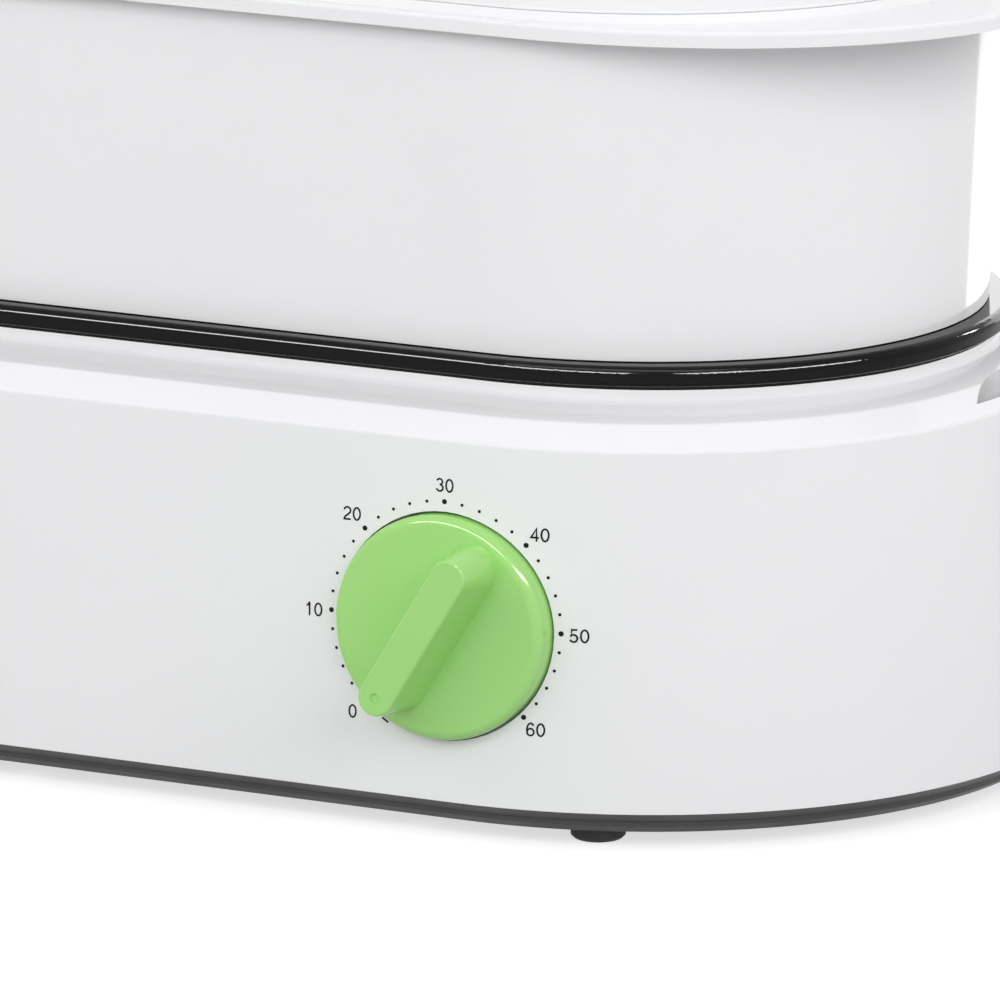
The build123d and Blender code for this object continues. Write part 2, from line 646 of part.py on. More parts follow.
# tubular element, brazed under the dish, with its two cold pins turned down
ELEMENT_Z = DISH_BOTTOM - ELEMENT_TUBE_RADIUS
pin_places = [
    (ELEMENT_RING_RADIUS * cos(radians(turn)), ELEMENT_RING_RADIUS * sin(radians(turn)))
    for turn in (ELEMENT_GAP_ANGLE / 2, 360 - ELEMENT_GAP_ANGLE / 2)
]
with BuildPart() as heater_element:
    with BuildLine():
        turns = CenterArc((0, 0, ELEMENT_Z), ELEMENT_RING_RADIUS, ELEMENT_GAP_ANGLE / 2,
                          360 - ELEMENT_GAP_ANGLE)
    with BuildSketch(Plane(origin=turns @ 0, z_dir=turns % 0)):
        Circle(ELEMENT_TUBE_RADIUS)
    sweep()
    with Locations(*[(x, y, ELEMENT_Z) for x, y in pin_places]):
        Sphere(ELEMENT_TUBE_RADIUS)
    with BuildSketch(Plane.XY.offset(ELEMENT_Z)):
        with Locations(*pin_places):
            Circle(ELEMENT_TUBE_RADIUS / 2)
    extrude(amount=-ELEMENT_TUBE_RADIUS - ELEMENT_PIN_DROP)
heater_element.part.label = "heater_element"
export_step(heater_element.part, "parts/heater_element.step")

# top-hat clamp that pulls the dish down on its gasket
CLAMP_TOP = DISH_BOTTOM - CLAMP_THICKNESS
CLAMP_RADIUS = HEATER_HOLE_RADIUS + CLAMP_OVERHANG
with BuildPart() as heater_clamp:
    add(disc(CLAMP_RADIUS, CLAMP_TOP - CLAMP_THICKNESS, TUB_FLOOR_HEIGHT))
    add(disc(CLAMP_RADIUS - CLAMP_THICKNESS, CLAMP_TOP, TUB_FLOOR_HEIGHT + BEYOND), mode=Mode.SUBTRACT)
    with BuildSketch(Plane.XY.offset(CLAMP_TOP - CLAMP_THICKNESS - BEYOND)):
        Circle(CLAMP_INNER_RADIUS)
        with PolarLocations(STUD_RING_RADIUS, STUD_COUNT):
            Circle(STUD_RADIUS + SCREW_GAP)
    extrude(amount=CLAMP_THICKNESS + 2 * BEYOND, mode=Mode.SUBTRACT)
heater_clamp.part.label = "heater_clamp"
export_step(heater_clamp.part, "parts/heater_clamp.step")

CLAMP_UNDER = CLAMP_TOP - CLAMP_THICKNESS
with BuildPart() as heater_nuts:
    with BuildSketch(Plane.XY.offset(CLAMP_UNDER)):
        with PolarLocations(STUD_RING_RADIUS, STUD_COUNT):
            RegularPolygon(NUT_RADIUS, 6)
            Circle(STUD_RADIUS + RUNNING_GAP, mode=Mode.SUBTRACT)
    extrude(amount=-NUT_HEIGHT)
heater_nuts.part.label = "heater_nuts"
export_step(heater_nuts.part, "parts/heater_nuts.step")

with BuildPart() as thermostat:
    add(disc(THERMOSTAT_RADIUS, DISH_BOTTOM - THERMOSTAT_HEIGHT, DISH_BOTTOM))
    chamfer(thermostat.edges().group_by(Axis.Z)[0], THERMOSTAT_EDGE)
    with BuildSketch(Plane.XY.offset(DISH_BOTTOM - THERMOSTAT_HEIGHT)):
        with GridLocations(THERMOSTAT_RADIUS, 0, 2, 1):
            Rectangle(TAB_THICKNESS, TAB_WIDTH)
    extrude(amount=-TAB_LENGTH)
thermostat.part.label = "thermostat"
export_step(thermostat.part, "parts/thermostat.step")

with BuildPart() as thermal_fuse:
    fuse_middle = (CLAMP_INNER_RADIUS + CLAMP_RADIUS) / 2
    with BuildSketch(Plane.YZ.offset(-FUSE_LENGTH / 2)):
        with Locations((fuse_middle, CLAMP_UNDER - FUSE_RADIUS)):
            Circle(FUSE_RADIUS)
    extrude(amount=FUSE_LENGTH)
    fillet(thermal_fuse.edges().filter_by(GeomType.CIRCLE), FUSE_RADIUS / 3)
thermal_fuse.part.label = "thermal_fuse"
export_step(thermal_fuse.part, "parts/thermal_fuse.step")

# ---------------------------------------------------------------- steam sleeve
SLEEVE_BOTTOM = TUB_INSIDE + LIFT_GAP
with BuildPart() as steam_sleeve:
    add(disc(SLEEVE_RADIUS, SLEEVE_BOTTOM, SLEEVE_BOTTOM + SLEEVE_HEIGHT))
    chamfer(steam_sleeve.edges().group_by(Axis.Z)[-1], SLEEVE_WALL / 3)
    add(disc(SLEEVE_RADIUS - SLEEVE_WALL, SLEEVE_BOTTOM - BEYOND, SLEEVE_BOTTOM + SLEEVE_HEIGHT + BEYOND),
        mode=Mode.SUBTRACT)
    for turn in (0, 90):
        with BuildSketch(Plane.XY.offset(SLEEVE_BOTTOM)):
            Rectangle(2 * SLEEVE_RADIUS + BEYOND, SLEEVE_PORT_WIDTH, rotation=turn)
        extrude(amount=SLEEVE_PORT_HEIGHT, mode=Mode.SUBTRACT)
steam_sleeve.part.label = "steam_sleeve"
export_step(steam_sleeve.part, "parts/steam_sleeve.step")

# ---------------------------------------------------------------- mains side
INLET_WALL_Y = BASE_DEPTH - WALL_LEAN * (INLET_HEIGHT - PLATE_TOP) / HOUSING_HEIGHT
grip_tip_drop = GRIP_TIP_AT * -sin(radians(KNOB_POINTS_AT)) + GRIP_TOP_WIDTH / 2
inlet_face = Plane(origin=(INLET_X, INLET_WALL_Y, INLET_HEIGHT), x_dir=(1, 0, 0),
                   z_dir=(0, cos(LEAN_ANGLE), sin(LEAN_ANGLE)))
# the gland reaches as far back as the knob's grip reaches forward
front_reach = -DIAL_Y + GRIP_TOP * cos(LEAN_ANGLE) + grip_tip_drop * sin(LEAN_ANGLE)
GLAND_REACH = (front_reach - INLET_WALL_Y - (GLAND_RADIUS - GLAND_ROUND) * sin(LEAN_ANGLE)
               ) / cos(LEAN_ANGLE)
with BuildPart() as cord_inlet:
    with BuildSketch(inlet_face):
        Circle(GLAND_RADIUS)
    extrude(amount=GLAND_REACH)
    fillet(cord_inlet.edges().sort_by(Axis.Y)[-1], GLAND_ROUND)
    with BuildSketch(inlet_face):
        Circle(INLET_FLANGE_RADIUS)
    extrude(amount=INLET_FLANGE)
    with BuildSketch(inlet_face.offset(INLET_FLANGE)):
        RegularPolygon(GLAND_NUT_RADIUS, 6)
    extrude(amount=GLAND_NUT_LENGTH)
    with BuildSketch(inlet_face):
        Rectangle(INLET_NECK_WIDTH - 2 * FIT_GAP, INLET_NECK_WIDTH - 2 * FIT_GAP)
    extrude(amount=-SKIN - INLET_FLANGE)
    with BuildSketch(inlet_face.offset(-SKIN - FIT_GAP)):
        Rectangle(INLET_NECK_WIDTH + INLET_FLANGE, INLET_NECK_WIDTH + INLET_FLANGE)
    extrude(amount=-INLET_FLANGE)
    with BuildSketch(inlet_face.offset(GLAND_REACH + BEYOND)):
        Circle(INLET_BORE_RADIUS)
    extrude(amount=-GLAND_REACH - SKIN - 2 * INLET_FLANGE - 2 * BEYOND, mode=Mode.SUBTRACT)
cord_inlet.part.label = "cord_inlet"
export_step(cord_inlet.part, "parts/cord_inlet.step")

block_y = BASE_DEPTH - BLOCK_FROM_SIDE
with BuildPart() as terminal_block:
    with BuildSketch(Plane.XY.offset(PLATE_INSIDE)):
        with Locations((INLET_X, block_y)):
            Rectangle(BLOCK_LENGTH, BLOCK_WIDTH)
    extrude(amount=BLOCK_HEIGHT)
    chamfer(terminal_block.edges().group_by(Axis.Z)[-1], BLOCK_EDGE)
    with BuildSketch(Plane.XZ.offset(-block_y - BLOCK_WIDTH / 2 - BEYOND)):
        with Locations((INLET_X, PLATE_INSIDE + BLOCK_HEIGHT / 2)):
            with GridLocations(BLOCK_LENGTH / BLOCK_WAYS, 0, BLOCK_WAYS, 1):
                Circle(BLOCK_WAY_RADIUS)
    extrude(amount=BLOCK_WIDTH + 2 * BEYOND, mode=Mode.SUBTRACT)
terminal_block.part.label = "terminal_block"
export_step(terminal_block.part, "parts/terminal_block.step")

# ---------------------------------------------------------------- timer
with BuildPart() as timer_plate:
    with BuildSketch(dial.offset(PLATE_FRONT)):
        RectangleRounded(TIMER_PLATE_WIDTH, TIMER_PLATE_HEIGHT, TIMER_CORNER)
        Circle(SHAFT_RADIUS + RUNNING_GAP, mode=Mode.SUBTRACT)
        with Locations(*timer_holes):
            Circle(TIMER_SCREW_RADIUS + RUNNING_GAP, mode=Mode.SUBTRACT)
    extrude(amount=-TIMER_PLATE)
timer_plate.part.label = "timer_plate"
export_step(timer_plate.part, "parts/timer_plate.step")

with BuildPart() as timer_screws:
    with BuildSketch(dial.offset(-POCKET_DEPTH)):
        with Locations(*timer_holes):
            Circle(TIMER_SCREW_HEAD_RADIUS)
    extrude(amount=TIMER_SCREW_HEAD)
    fillet(timer_screws.faces().group_by(Axis.Y)[0].edges(), TIMER_SCREW_HEAD / 3)
    with BuildSketch(dial.offset(-POCKET_DEPTH)):
        with Locations(*timer_holes):
            Circle(TIMER_SCREW_RADIUS)
    extrude(amount=POCKET_DEPTH + CASE_FRONT)
timer_screws.part.label = "timer_screws"
export_step(timer_screws.part, "parts/timer_screws.step")

with BuildPart() as timer_case:
    with BuildSketch(dial.offset(CASE_FRONT)):
        RectangleRounded(CASE_WIDTH, CASE_HEIGHT, TIMER_CORNER)
    extrude(amount=-CASE_DEPTH)
    with BuildSketch(dial.offset(CASE_FRONT)):
        RectangleRounded(CASE_WIDTH - 2 * CASE_WALL, CASE_HEIGHT - 2 * CASE_WALL,
                         TIMER_CORNER - CASE_WALL)
    extrude(amount=CASE_WALL - CASE_DEPTH, mode=Mode.SUBTRACT)
    # rear bearing for the shaft, and the post that carries the bell
    with BuildSketch(dial.offset(CASE_BACK)):
        Circle(SHAFT_RADIUS + CASE_WALL)
        Circle(SHAFT_RADIUS + RUNNING_GAP, mode=Mode.SUBTRACT)
    extrude(amount=CASE_BEARING)
    with BuildSketch(dial.offset(CASE_BACK + CASE_WALL)):
        Circle(BELL_POST_RADIUS)
    extrude(amount=-CASE_WALL - BELL_GAP - BELL_DEPTH + BELL_WALL)
    with BuildSketch(dial.offset(BELL_BACK + BELL_WALL)):
        Circle(BELL_SCREW_RADIUS)
    extrude(amount=BELL_DEPTH - BELL_WALL, mode=Mode.SUBTRACT)
timer_case.part.label = "timer_case"
export_step(timer_case.part, "parts/timer_case.step")

with BuildPart() as timer_bell:
    with BuildSketch(dial.offset(BELL_FRONT)):
        Circle(BELL_RADIUS)
    extrude(amount=-BELL_DEPTH)
    fillet(timer_bell.faces().sort_by(Axis.Y)[-1].edges(), BELL_ROUND)
    with BuildSketch(dial.offset(BELL_FRONT)):
        Circle(BELL_RADIUS - BELL_WALL)
    extrude(amount=BELL_WALL - BELL_DEPTH, mode=Mode.SUBTRACT)
    with BuildSketch(dial.offset(BELL_FRONT)):
        Circle(BELL_SCREW_RADIUS + SCREW_GAP)
    extrude(amount=-BELL_DEPTH, mode=Mode.SUBTRACT)
timer_bell.part.label = "timer_bell"
export_step(timer_bell.part, "parts/timer_bell.step")

with BuildPart() as bell_screw:
    with BuildSketch(dial.offset(BELL_BACK)):
        Circle(TIMER_SCREW_HEAD_RADIUS)
    extrude(amount=-TIMER_SCREW_HEAD)
    with BuildSketch(dial.offset(BELL_BACK)):
        Circle(BELL_SCREW_RADIUS)
    extrude(amount=BELL_DEPTH - BELL_WALL)
bell_screw.part.label = "bell_screw"
export_step(bell_screw.part, "parts/bell_screw.step")

# cam on the shaft, with the notch that lets the contacts open at the off position
CAM_BACK = CASE_BACK + CASE_BEARING + FIT_GAP
with BuildPart() as timer_cam:
    with BuildSketch(dial.offset(CAM_BACK)):
        Circle(CAM_RADIUS)
        Circle(SHAFT_RADIUS, mode=Mode.SUBTRACT)
        with Locations((0, -CAM_RADIUS)):
            Circle(CAM_NOTCH_RADIUS, mode=Mode.SUBTRACT)
    extrude(amount=CAM_THICKNESS)
timer_cam.part.label = "timer_cam"
export_step(timer_cam.part, "parts/timer_cam.step")

# two leaf contacts, anchored in the case's left wall, under the cam
with BuildPart() as timer_contacts:
    leaf_length = CASE_WIDTH / 2 - CASE_WALL + CAM_NOTCH_RADIUS
    leaf_middle = -CASE_WIDTH / 2 + CASE_WALL + leaf_length / 2
    first_leaf = CAM_RADIUS + FIT_GAP + CONTACT_THICKNESS / 2
    with BuildSketch(dial.offset(CAM_BACK)):
        with Locations((leaf_middle, -first_leaf), (leaf_middle, -first_leaf - CONTACT_SPACING)):
            Rectangle(leaf_length, CONTACT_THICKNESS)
    extrude(amount=CONTACT_WIDTH)
timer_contacts.part.label = "timer_contacts"
export_step(timer_contacts.part, "parts/timer_contacts.step")

# shaft: round through its bearings, D-shaped inside the knob
SHAFT_END = KNOB_UNDER + KNOB_BORE_DEPTH - FIT_GAP
with BuildPart() as timer_shaft:
    with BuildSketch(dial.offset(CASE_BACK + CASE_WALL + FIT_GAP)):
        Circle(SHAFT_RADIUS)
    extrude(amount=KNOB_UNDER - CASE_BACK - CASE_WALL - FIT_GAP)
    with BuildSketch(dial.offset(KNOB_UNDER)):
        Circle(SHAFT_RADIUS)
        with Locations((0, SHAFT_FLAT)):
            Rectangle(3 * SHAFT_RADIUS, SHAFT_RADIUS, align=(Align.CENTER, Align.MIN),
                      mode=Mode.SUBTRACT)
    extrude(amount=SHAFT_END - KNOB_UNDER)
timer_shaft.part.label = "timer_shaft"
export_step(timer_shaft.part, "parts/timer_shaft.step")

# ---------------------------------------------------------------- knob
FACE_UNDER = KNOB_FACE - KNOB_TOP_WALL
GRIP_TURN = KNOB_POINTS_AT - 180
FLAT_GAP = CLIP_THICKNESS + RUNNING_GAP
with BuildPart() as knob:
    with BuildSketch(dial.offset(KNOB_UNDER)):
        Circle(KNOB_RADIUS)
    extrude(amount=KNOB_FACE - KNOB_UNDER)
    fillet(knob.faces().sort_by(Axis.Y)[0].edges(), KNOB_EDGE)
    with BuildSketch(dial.offset(KNOB_FACE)):
        with PolarLocations(GRIP_SHIFT, 1, start_angle=GRIP_TURN):
            SlotOverall(GRIP_BASE_LENGTH, GRIP_BASE_WIDTH)
    with BuildSketch(dial.offset(GRIP_TOP)):
        with PolarLocations(GRIP_SHIFT, 1, start_angle=GRIP_TURN):
            SlotOverall(GRIP_TOP_LENGTH, GRIP_TOP_WIDTH)
    loft(ruled=True)
    fillet(knob.faces().sort_by(Axis.Y)[0].edges(), GRIP_ROUND)
    # hollow underneath, with a boss for the shaft
    with BuildSketch(dial.offset(KNOB_UNDER)):
        Circle(KNOB_RADIUS - KNOB_SKIRT_WALL)
    extrude(amount=FACE_UNDER - KNOB_UNDER, mode=Mode.SUBTRACT)
    with BuildSketch(dial.offset(FACE_UNDER)):
        with PolarLocations(GRIP_SHIFT, 1, start_angle=GRIP_TURN):
            SlotOverall(GRIP_TOP_LENGTH - 2 * GRIP_WALL, GRIP_TOP_WIDTH - 2 * GRIP_WALL)
    extrude(amount=GRIP_TOP - GRIP_WALL - FACE_UNDER, mode=Mode.SUBTRACT)
    with BuildSketch(dial.offset(KNOB_UNDER)):
        Circle(KNOB_BOSS_RADIUS)
    extrude(amount=GRIP_TOP - GRIP_WALL - KNOB_UNDER)
    with BuildSketch(dial.offset(KNOB_UNDER)):
        Circle(SHAFT_RADIUS + RUNNING_GAP)
        with Locations((0, SHAFT_FLAT + FLAT_GAP)):
            Rectangle(3 * SHAFT_RADIUS, SHAFT_RADIUS, align=(Align.CENTER, Align.MIN),
                      mode=Mode.SUBTRACT)
    extrude(amount=KNOB_BORE_DEPTH, mode=Mode.SUBTRACT)
    with BuildSketch(dial.offset(GRIP_TOP - DIMPLE_DEPTH)):
        with PolarLocations(GRIP_TIP_AT, 1, start_angle=KNOB_POINTS_AT):
            Circle(DIMPLE_RADIUS)
    extrude(amount=DIMPLE_DEPTH + BEYOND, mode=Mode.SUBTRACT)
knob.part.label = "knob"
export_step(knob.part, "parts/knob.step")

# spring clip between the shaft's flat and the knob's bore
with BuildPart() as knob_clip:
    with BuildSketch(dial.offset(KNOB_UNDER + BEYOND)):
        with Locations((0, SHAFT_FLAT + CLIP_THICKNESS / 2)):
            Rectangle(CLIP_WIDTH, CLIP_THICKNESS)
    extrude(amount=CLIP_LENGTH)
knob_clip.part.label = "knob_clip"
export_step(knob_clip.part, "parts/knob_clip.step")

# ---------------------------------------------------------------- drip tray
tray_dish = inset(tub_mouth, TANK_WALL + TRAY_DISH_GAP)
bowl_skirt = inset(bowl_foot, BOWL_SKIRT_INSET)
DISH_FLOOR = TRAY_BOTTOM - TRAY_DISH_DEPTH
with BuildPart() as drip_tray:
    add(oval_prism(tray_rim, TRAY_BOTTOM + TRAY_FOOT_HEIGHT, TRAY_TOP))
    fillet(edges_at(drip_tray.part, TRAY_TOP), TRAY_RIM_ROUND)
    fillet(edges_at(drip_tray.part, TRAY_BOTTOM + TRAY_FOOT_HEIGHT), TRAY_FOOT_HEIGHT)
    add(oval_prism(inset(tray_rim, TRAY_FOOT_INSET), TRAY_BOTTOM, SEAT_TOP))
    add(oval_prism(inset(bowl_skirt, -NEST_GAP), SEAT_TOP, TRAY_TOP + BEYOND), mode=Mode.SUBTRACT)
    add(oval_prism(tray_dish, DISH_FLOOR, SEAT_TOP))
    add(oval_prism(inset(tray_dish, TRAY_WALL), DISH_FLOOR + TRAY_WALL, SEAT_TOP + BEYOND),
        mode=Mode.SUBTRACT)
    add(disc(CHIMNEY_RADIUS, DISH_FLOOR, DISH_FLOOR + CHIMNEY_HEIGHT))
    add(disc(CHIMNEY_RADIUS - TRAY_WALL, DISH_FLOOR - BEYOND, DISH_FLOOR + CHIMNEY_HEIGHT + BEYOND),
        mode=Mode.SUBTRACT)
drip_tray.part.label = "drip_tray"
export_step(drip_tray.part, "parts/drip_tray.step")

# ---------------------------------------------------------------- bowls and grates
bowl_inside = inset(bowl_foot, BOWL_WALL)
bowl_throat = inset(bowl_skirt, -NEST_GAP)
grate_outline = inset(bowl_inside, NEST_GAP)
GRATE_LIFT = BOWL_LEDGE_THICKNESS + LIFT_GAP

with BuildSketch() as grate_slots:
    with GridLocations(GRATE_PITCH_X, GRATE_PITCH_Y, GRATE_COLUMNS, GRATE_ROWS):
        SlotOverall(GRATE_SLOT_LENGTH, GRATE_SLOT_WIDTH)
    add(oval(inset(grate_outline, BOWL_LEDGE + GRATE_BORDER)), mode=Mode.INTERSECT)

for tier, rests_on in (("lower", TRAY_TOP), ("upper", TRAY_TOP + TIER_PITCH)):
    foot = rests_on + LIFT_GAP
    head = rests_on + TIER_PITCH
    rim_under = head - RIM_DROP
    band_top = rim_under + RIM_BAND
    with BuildPart() as bowl:
        add(oval_prism(rim, rim_under, band_top))
        fillet(edges_at(bowl.part, band_top), RIM_ROUND)
        add(oval_loft((band_top - BEYOND, inset(bowl_head, -RIM_CROWN_INSET)),
                      (head, inset(bowl_foot, -RIM_CROWN_INSET / 2))))
        add(oval_prism(inset(rim, BOWL_WALL), rim_under - BEYOND, band_top - RIM_PLATE),
            mode=Mode.SUBTRACT)
        add(oval_loft((foot, bowl_foot), (band_top - BEYOND, bowl_head)))
        add(oval_prism(bowl_skirt, foot - BOWL_SKIRT_HEIGHT, foot + BOWL_LEDGE_THICKNESS))
        add(oval_prism(inset(bowl_skirt, BOWL_WALL), foot - BOWL_SKIRT_HEIGHT, foot),
            mode=Mode.SUBTRACT)
        add(oval_prism(inset(bowl_inside, BOWL_LEDGE), foot - BEYOND, foot + BOWL_LEDGE_THICKNESS),
            mode=Mode.SUBTRACT)
        add(oval_loft((foot + BOWL_LEDGE_THICKNESS, bowl_inside),
                      (band_top - RIM_PLATE, inset(bowl_head, BOWL_WALL))),
            mode=Mode.SUBTRACT)
        add(oval_prism(bowl_throat, band_top - RIM_PLATE - BEYOND, head + BEYOND), mode=Mode.SUBTRACT)
    bowl.part.label = f"{tier}_bowl"
    export_step(bowl.part, f"parts/{tier}_bowl.step")

    with BuildPart() as grate:
        with BuildSketch(Plane.XY.offset(foot + GRATE_LIFT)):
            add(oval(grate_outline))
            add(grate_slots.sketch, mode=Mode.SUBTRACT)
        extrude(amount=GRATE_THICKNESS)
    grate.part.label = f"{tier}_grate"
    export_step(grate.part, f"parts/{tier}_grate.step")

# ---------------------------------------------------------------- lid
LID_BOTTOM = TRAY_TOP + 2 * TIER_PITCH + LIFT_GAP
LID_SHOULDER = LID_BOTTOM + LID_SIDE_HEIGHT
LID_TOP = LID_BOTTOM + LID_HEIGHT
lid_side = inset(bowl_foot, LID_SIDE_LEAN)
lid_top = inset(bowl_foot, LID_TOP_INSET)


def dome(smaller_by, bottom, round_by):
    """Lid shape: leaning sides, a sloped shoulder and a flat top."""
    with BuildPart() as shape:
        add(oval_loft((bottom, inset(bowl_foot, smaller_by)),
                      (LID_SHOULDER - smaller_by, inset(lid_side, smaller_by)),
                      (LID_TOP - smaller_by, inset(lid_top, smaller_by))))
        fillet(edges_at(shape.part, LID_SHOULDER - smaller_by), round_by)
    return shape.part


with BuildPart() as lid_skirt:
    add(oval_prism(bowl_skirt, LID_BOTTOM - LID_SKIRT_HEIGHT, LID_BOTTOM + LID_WALL))
    add(oval_prism(inset(bowl_skirt, LID_WALL), LID_BOTTOM - LID_SKIRT_HEIGHT - BEYOND,
                   LID_BOTTOM + LID_WALL + BEYOND), mode=Mode.SUBTRACT)

with BuildPart() as lid:
    add(dome(0, LID_BOTTOM, LID_ROUND))
    add(dome(LID_WALL, LID_BOTTOM, LID_ROUND - LID_WALL), mode=Mode.SUBTRACT)
    add(lid_skirt.part)
    for side in (-1, 1):
        with BuildSketch(Plane.XY.offset(LID_TOP - LID_SIDE_HEIGHT / 2)):
            with Locations((side * LID_VENT_X, 0)):
                with GridLocations(0, LID_VENT_PITCH, 1, LID_VENT_COUNT):
                    SlotOverall(LID_VENT_LENGTH, LID_VENT_WIDTH)
        extrude(amount=LID_SIDE_HEIGHT, mode=Mode.SUBTRACT)
    with BuildSketch(Plane.XY.offset(LID_TOP - LID_SIDE_HEIGHT / 2)):
        with GridLocations(HANDLE_SPAN - HANDLE_POST_LENGTH, 0, 2, 1):
            Circle(HANDLE_SCREW_RADIUS + SCREW_GAP)
    extrude(amount=LID_SIDE_HEIGHT, mode=Mode.SUBTRACT)
lid.part.label = "lid"
export_step(lid.part, "parts/lid.step")

with BuildPart() as lid_handle:
    with BuildSketch(Plane.XY.offset(LID_TOP)):
        RectangleRounded(HANDLE_SPAN, HANDLE_WIDTH, HANDLE_CORNER)
    extrude(amount=HANDLE_HEIGHT)
    fillet(lid_handle.edges().group_by(Axis.Z)[-1], HANDLE_ROUND)
    with BuildSketch(Plane.XZ.offset(-HANDLE_WIDTH)):
        with Locations((0, LID_TOP - BEYOND)):
            Rectangle(HANDLE_SPAN - 2 * HANDLE_POST_LENGTH, HANDLE_HEIGHT - HANDLE_BAR + BEYOND,
                      align=(Align.CENTER, Align.MIN))
    extrude(amount=2 * HANDLE_WIDTH, mode=Mode.SUBTRACT)
    fillet(lid_handle.edges().filter_by(Axis.Y).filter_by_position(
        Axis.Z, LID_TOP + BEYOND, LID_TOP + HANDLE_HEIGHT - BEYOND), HANDLE_ROUND)
    with BuildSketch(Plane.XY.offset(LID_TOP)):
        with GridLocations(HANDLE_SPAN - HANDLE_POST_LENGTH, 0, 2, 1):
            Circle(HANDLE_SCREW_RADIUS)
    extrude(amount=HANDLE_SCREW_REACH + BEYOND, mode=Mode.SUBTRACT)
lid_handle.part.label = "lid_handle"
export_step(lid_handle.part, "parts/lid_handle.step")

LID_UNDER = LID_TOP - LID_WALL
handle_screw_x = (HANDLE_SPAN - HANDLE_POST_LENGTH) / 2
handle_screw_places = [(-handle_screw_x, 0), (handle_screw_x, 0)]
with BuildPart() as handle_screws:
    with BuildSketch(Plane.XY.offset(LID_UNDER)):
        with GridLocations(HANDLE_SPAN - HANDLE_POST_LENGTH, 0, 2, 1):
            Circle(HANDLE_SCREW_HEAD_RADIUS)
    extrude(amount=-HANDLE_SCREW_HEAD)
    with BuildSketch(Plane.XY.offset(LID_UNDER)):
        with GridLocations(HANDLE_SPAN - HANDLE_POST_LENGTH, 0, 2, 1):
            Circle(HANDLE_SCREW_RADIUS)
    extrude(amount=LID_TOP - LID_UNDER + HANDLE_SCREW_REACH)
    add(cross_recess(handle_screw_places, LID_UNDER - HANDLE_SCREW_HEAD, RECESS_DEPTH),
        mode=Mode.SUBTRACT)
handle_screws.part.label = "handle_screws"
export_step(handle_screws.part, "parts/handle_screws.step")
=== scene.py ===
"""Looks of the electric food steamer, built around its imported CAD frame. Metres."""

import json
from math import atan2, cos, pi, radians, sin, sqrt, tan

import bmesh
import bpy
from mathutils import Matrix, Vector


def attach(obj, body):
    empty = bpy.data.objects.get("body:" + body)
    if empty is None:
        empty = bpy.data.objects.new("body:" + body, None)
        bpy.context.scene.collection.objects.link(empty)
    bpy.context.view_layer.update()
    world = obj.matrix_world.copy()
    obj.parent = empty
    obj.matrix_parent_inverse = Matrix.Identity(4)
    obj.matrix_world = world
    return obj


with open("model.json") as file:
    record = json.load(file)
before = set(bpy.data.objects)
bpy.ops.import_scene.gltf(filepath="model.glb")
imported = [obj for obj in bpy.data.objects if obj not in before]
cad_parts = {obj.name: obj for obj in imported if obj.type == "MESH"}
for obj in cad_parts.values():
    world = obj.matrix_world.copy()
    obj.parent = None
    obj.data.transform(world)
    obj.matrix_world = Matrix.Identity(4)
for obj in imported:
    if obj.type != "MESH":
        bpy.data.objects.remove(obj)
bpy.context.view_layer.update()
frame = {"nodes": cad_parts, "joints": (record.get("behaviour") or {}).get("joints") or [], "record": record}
nodes = frame["nodes"]
scene = bpy.context.scene
MM = 0.001


def reach_of(node, axis, side=max):
    """How far a CAD node reaches along an axis (0, 1 or 2), in millimetres."""
    return side(corner.co[axis] for corner in nodes[node].data.vertices) / MM


def object_from(made, name, material):
    """A new object in the scene from a built mesh."""
    mesh = bpy.data.meshes.new(name)
    made.to_mesh(mesh)
    made.free()
    mesh.materials.append(material)
    piece = bpy.data.objects.new(name, mesh)
    scene.collection.objects.link(piece)
    return piece


# ---------------------------------------------------------------- camera
TARGET = Vector((0.08803, -0.11888, 0.09602))
BACK = Vector((0.41910, -0.87490, 0.24276))
DISTANCE = 3.01408
SENSOR, LENS = 36.0, 405.2
FARTHEST_SEEN = 60.0

camera_data = bpy.data.cameras.new("camera")
camera_data.sensor_width = SENSOR
camera_data.lens = LENS
camera_data.clip_end = FARTHEST_SEEN
camera = bpy.data.objects.new("camera", camera_data)
scene.collection.objects.link(camera)
camera.location = TARGET + BACK * DISTANCE
camera.rotation_mode = "QUATERNION"
camera.rotation_quaternion = (-BACK).to_track_quat("-Z", "Y")
scene.camera = camera
scene.view_settings.view_transform = "Standard"


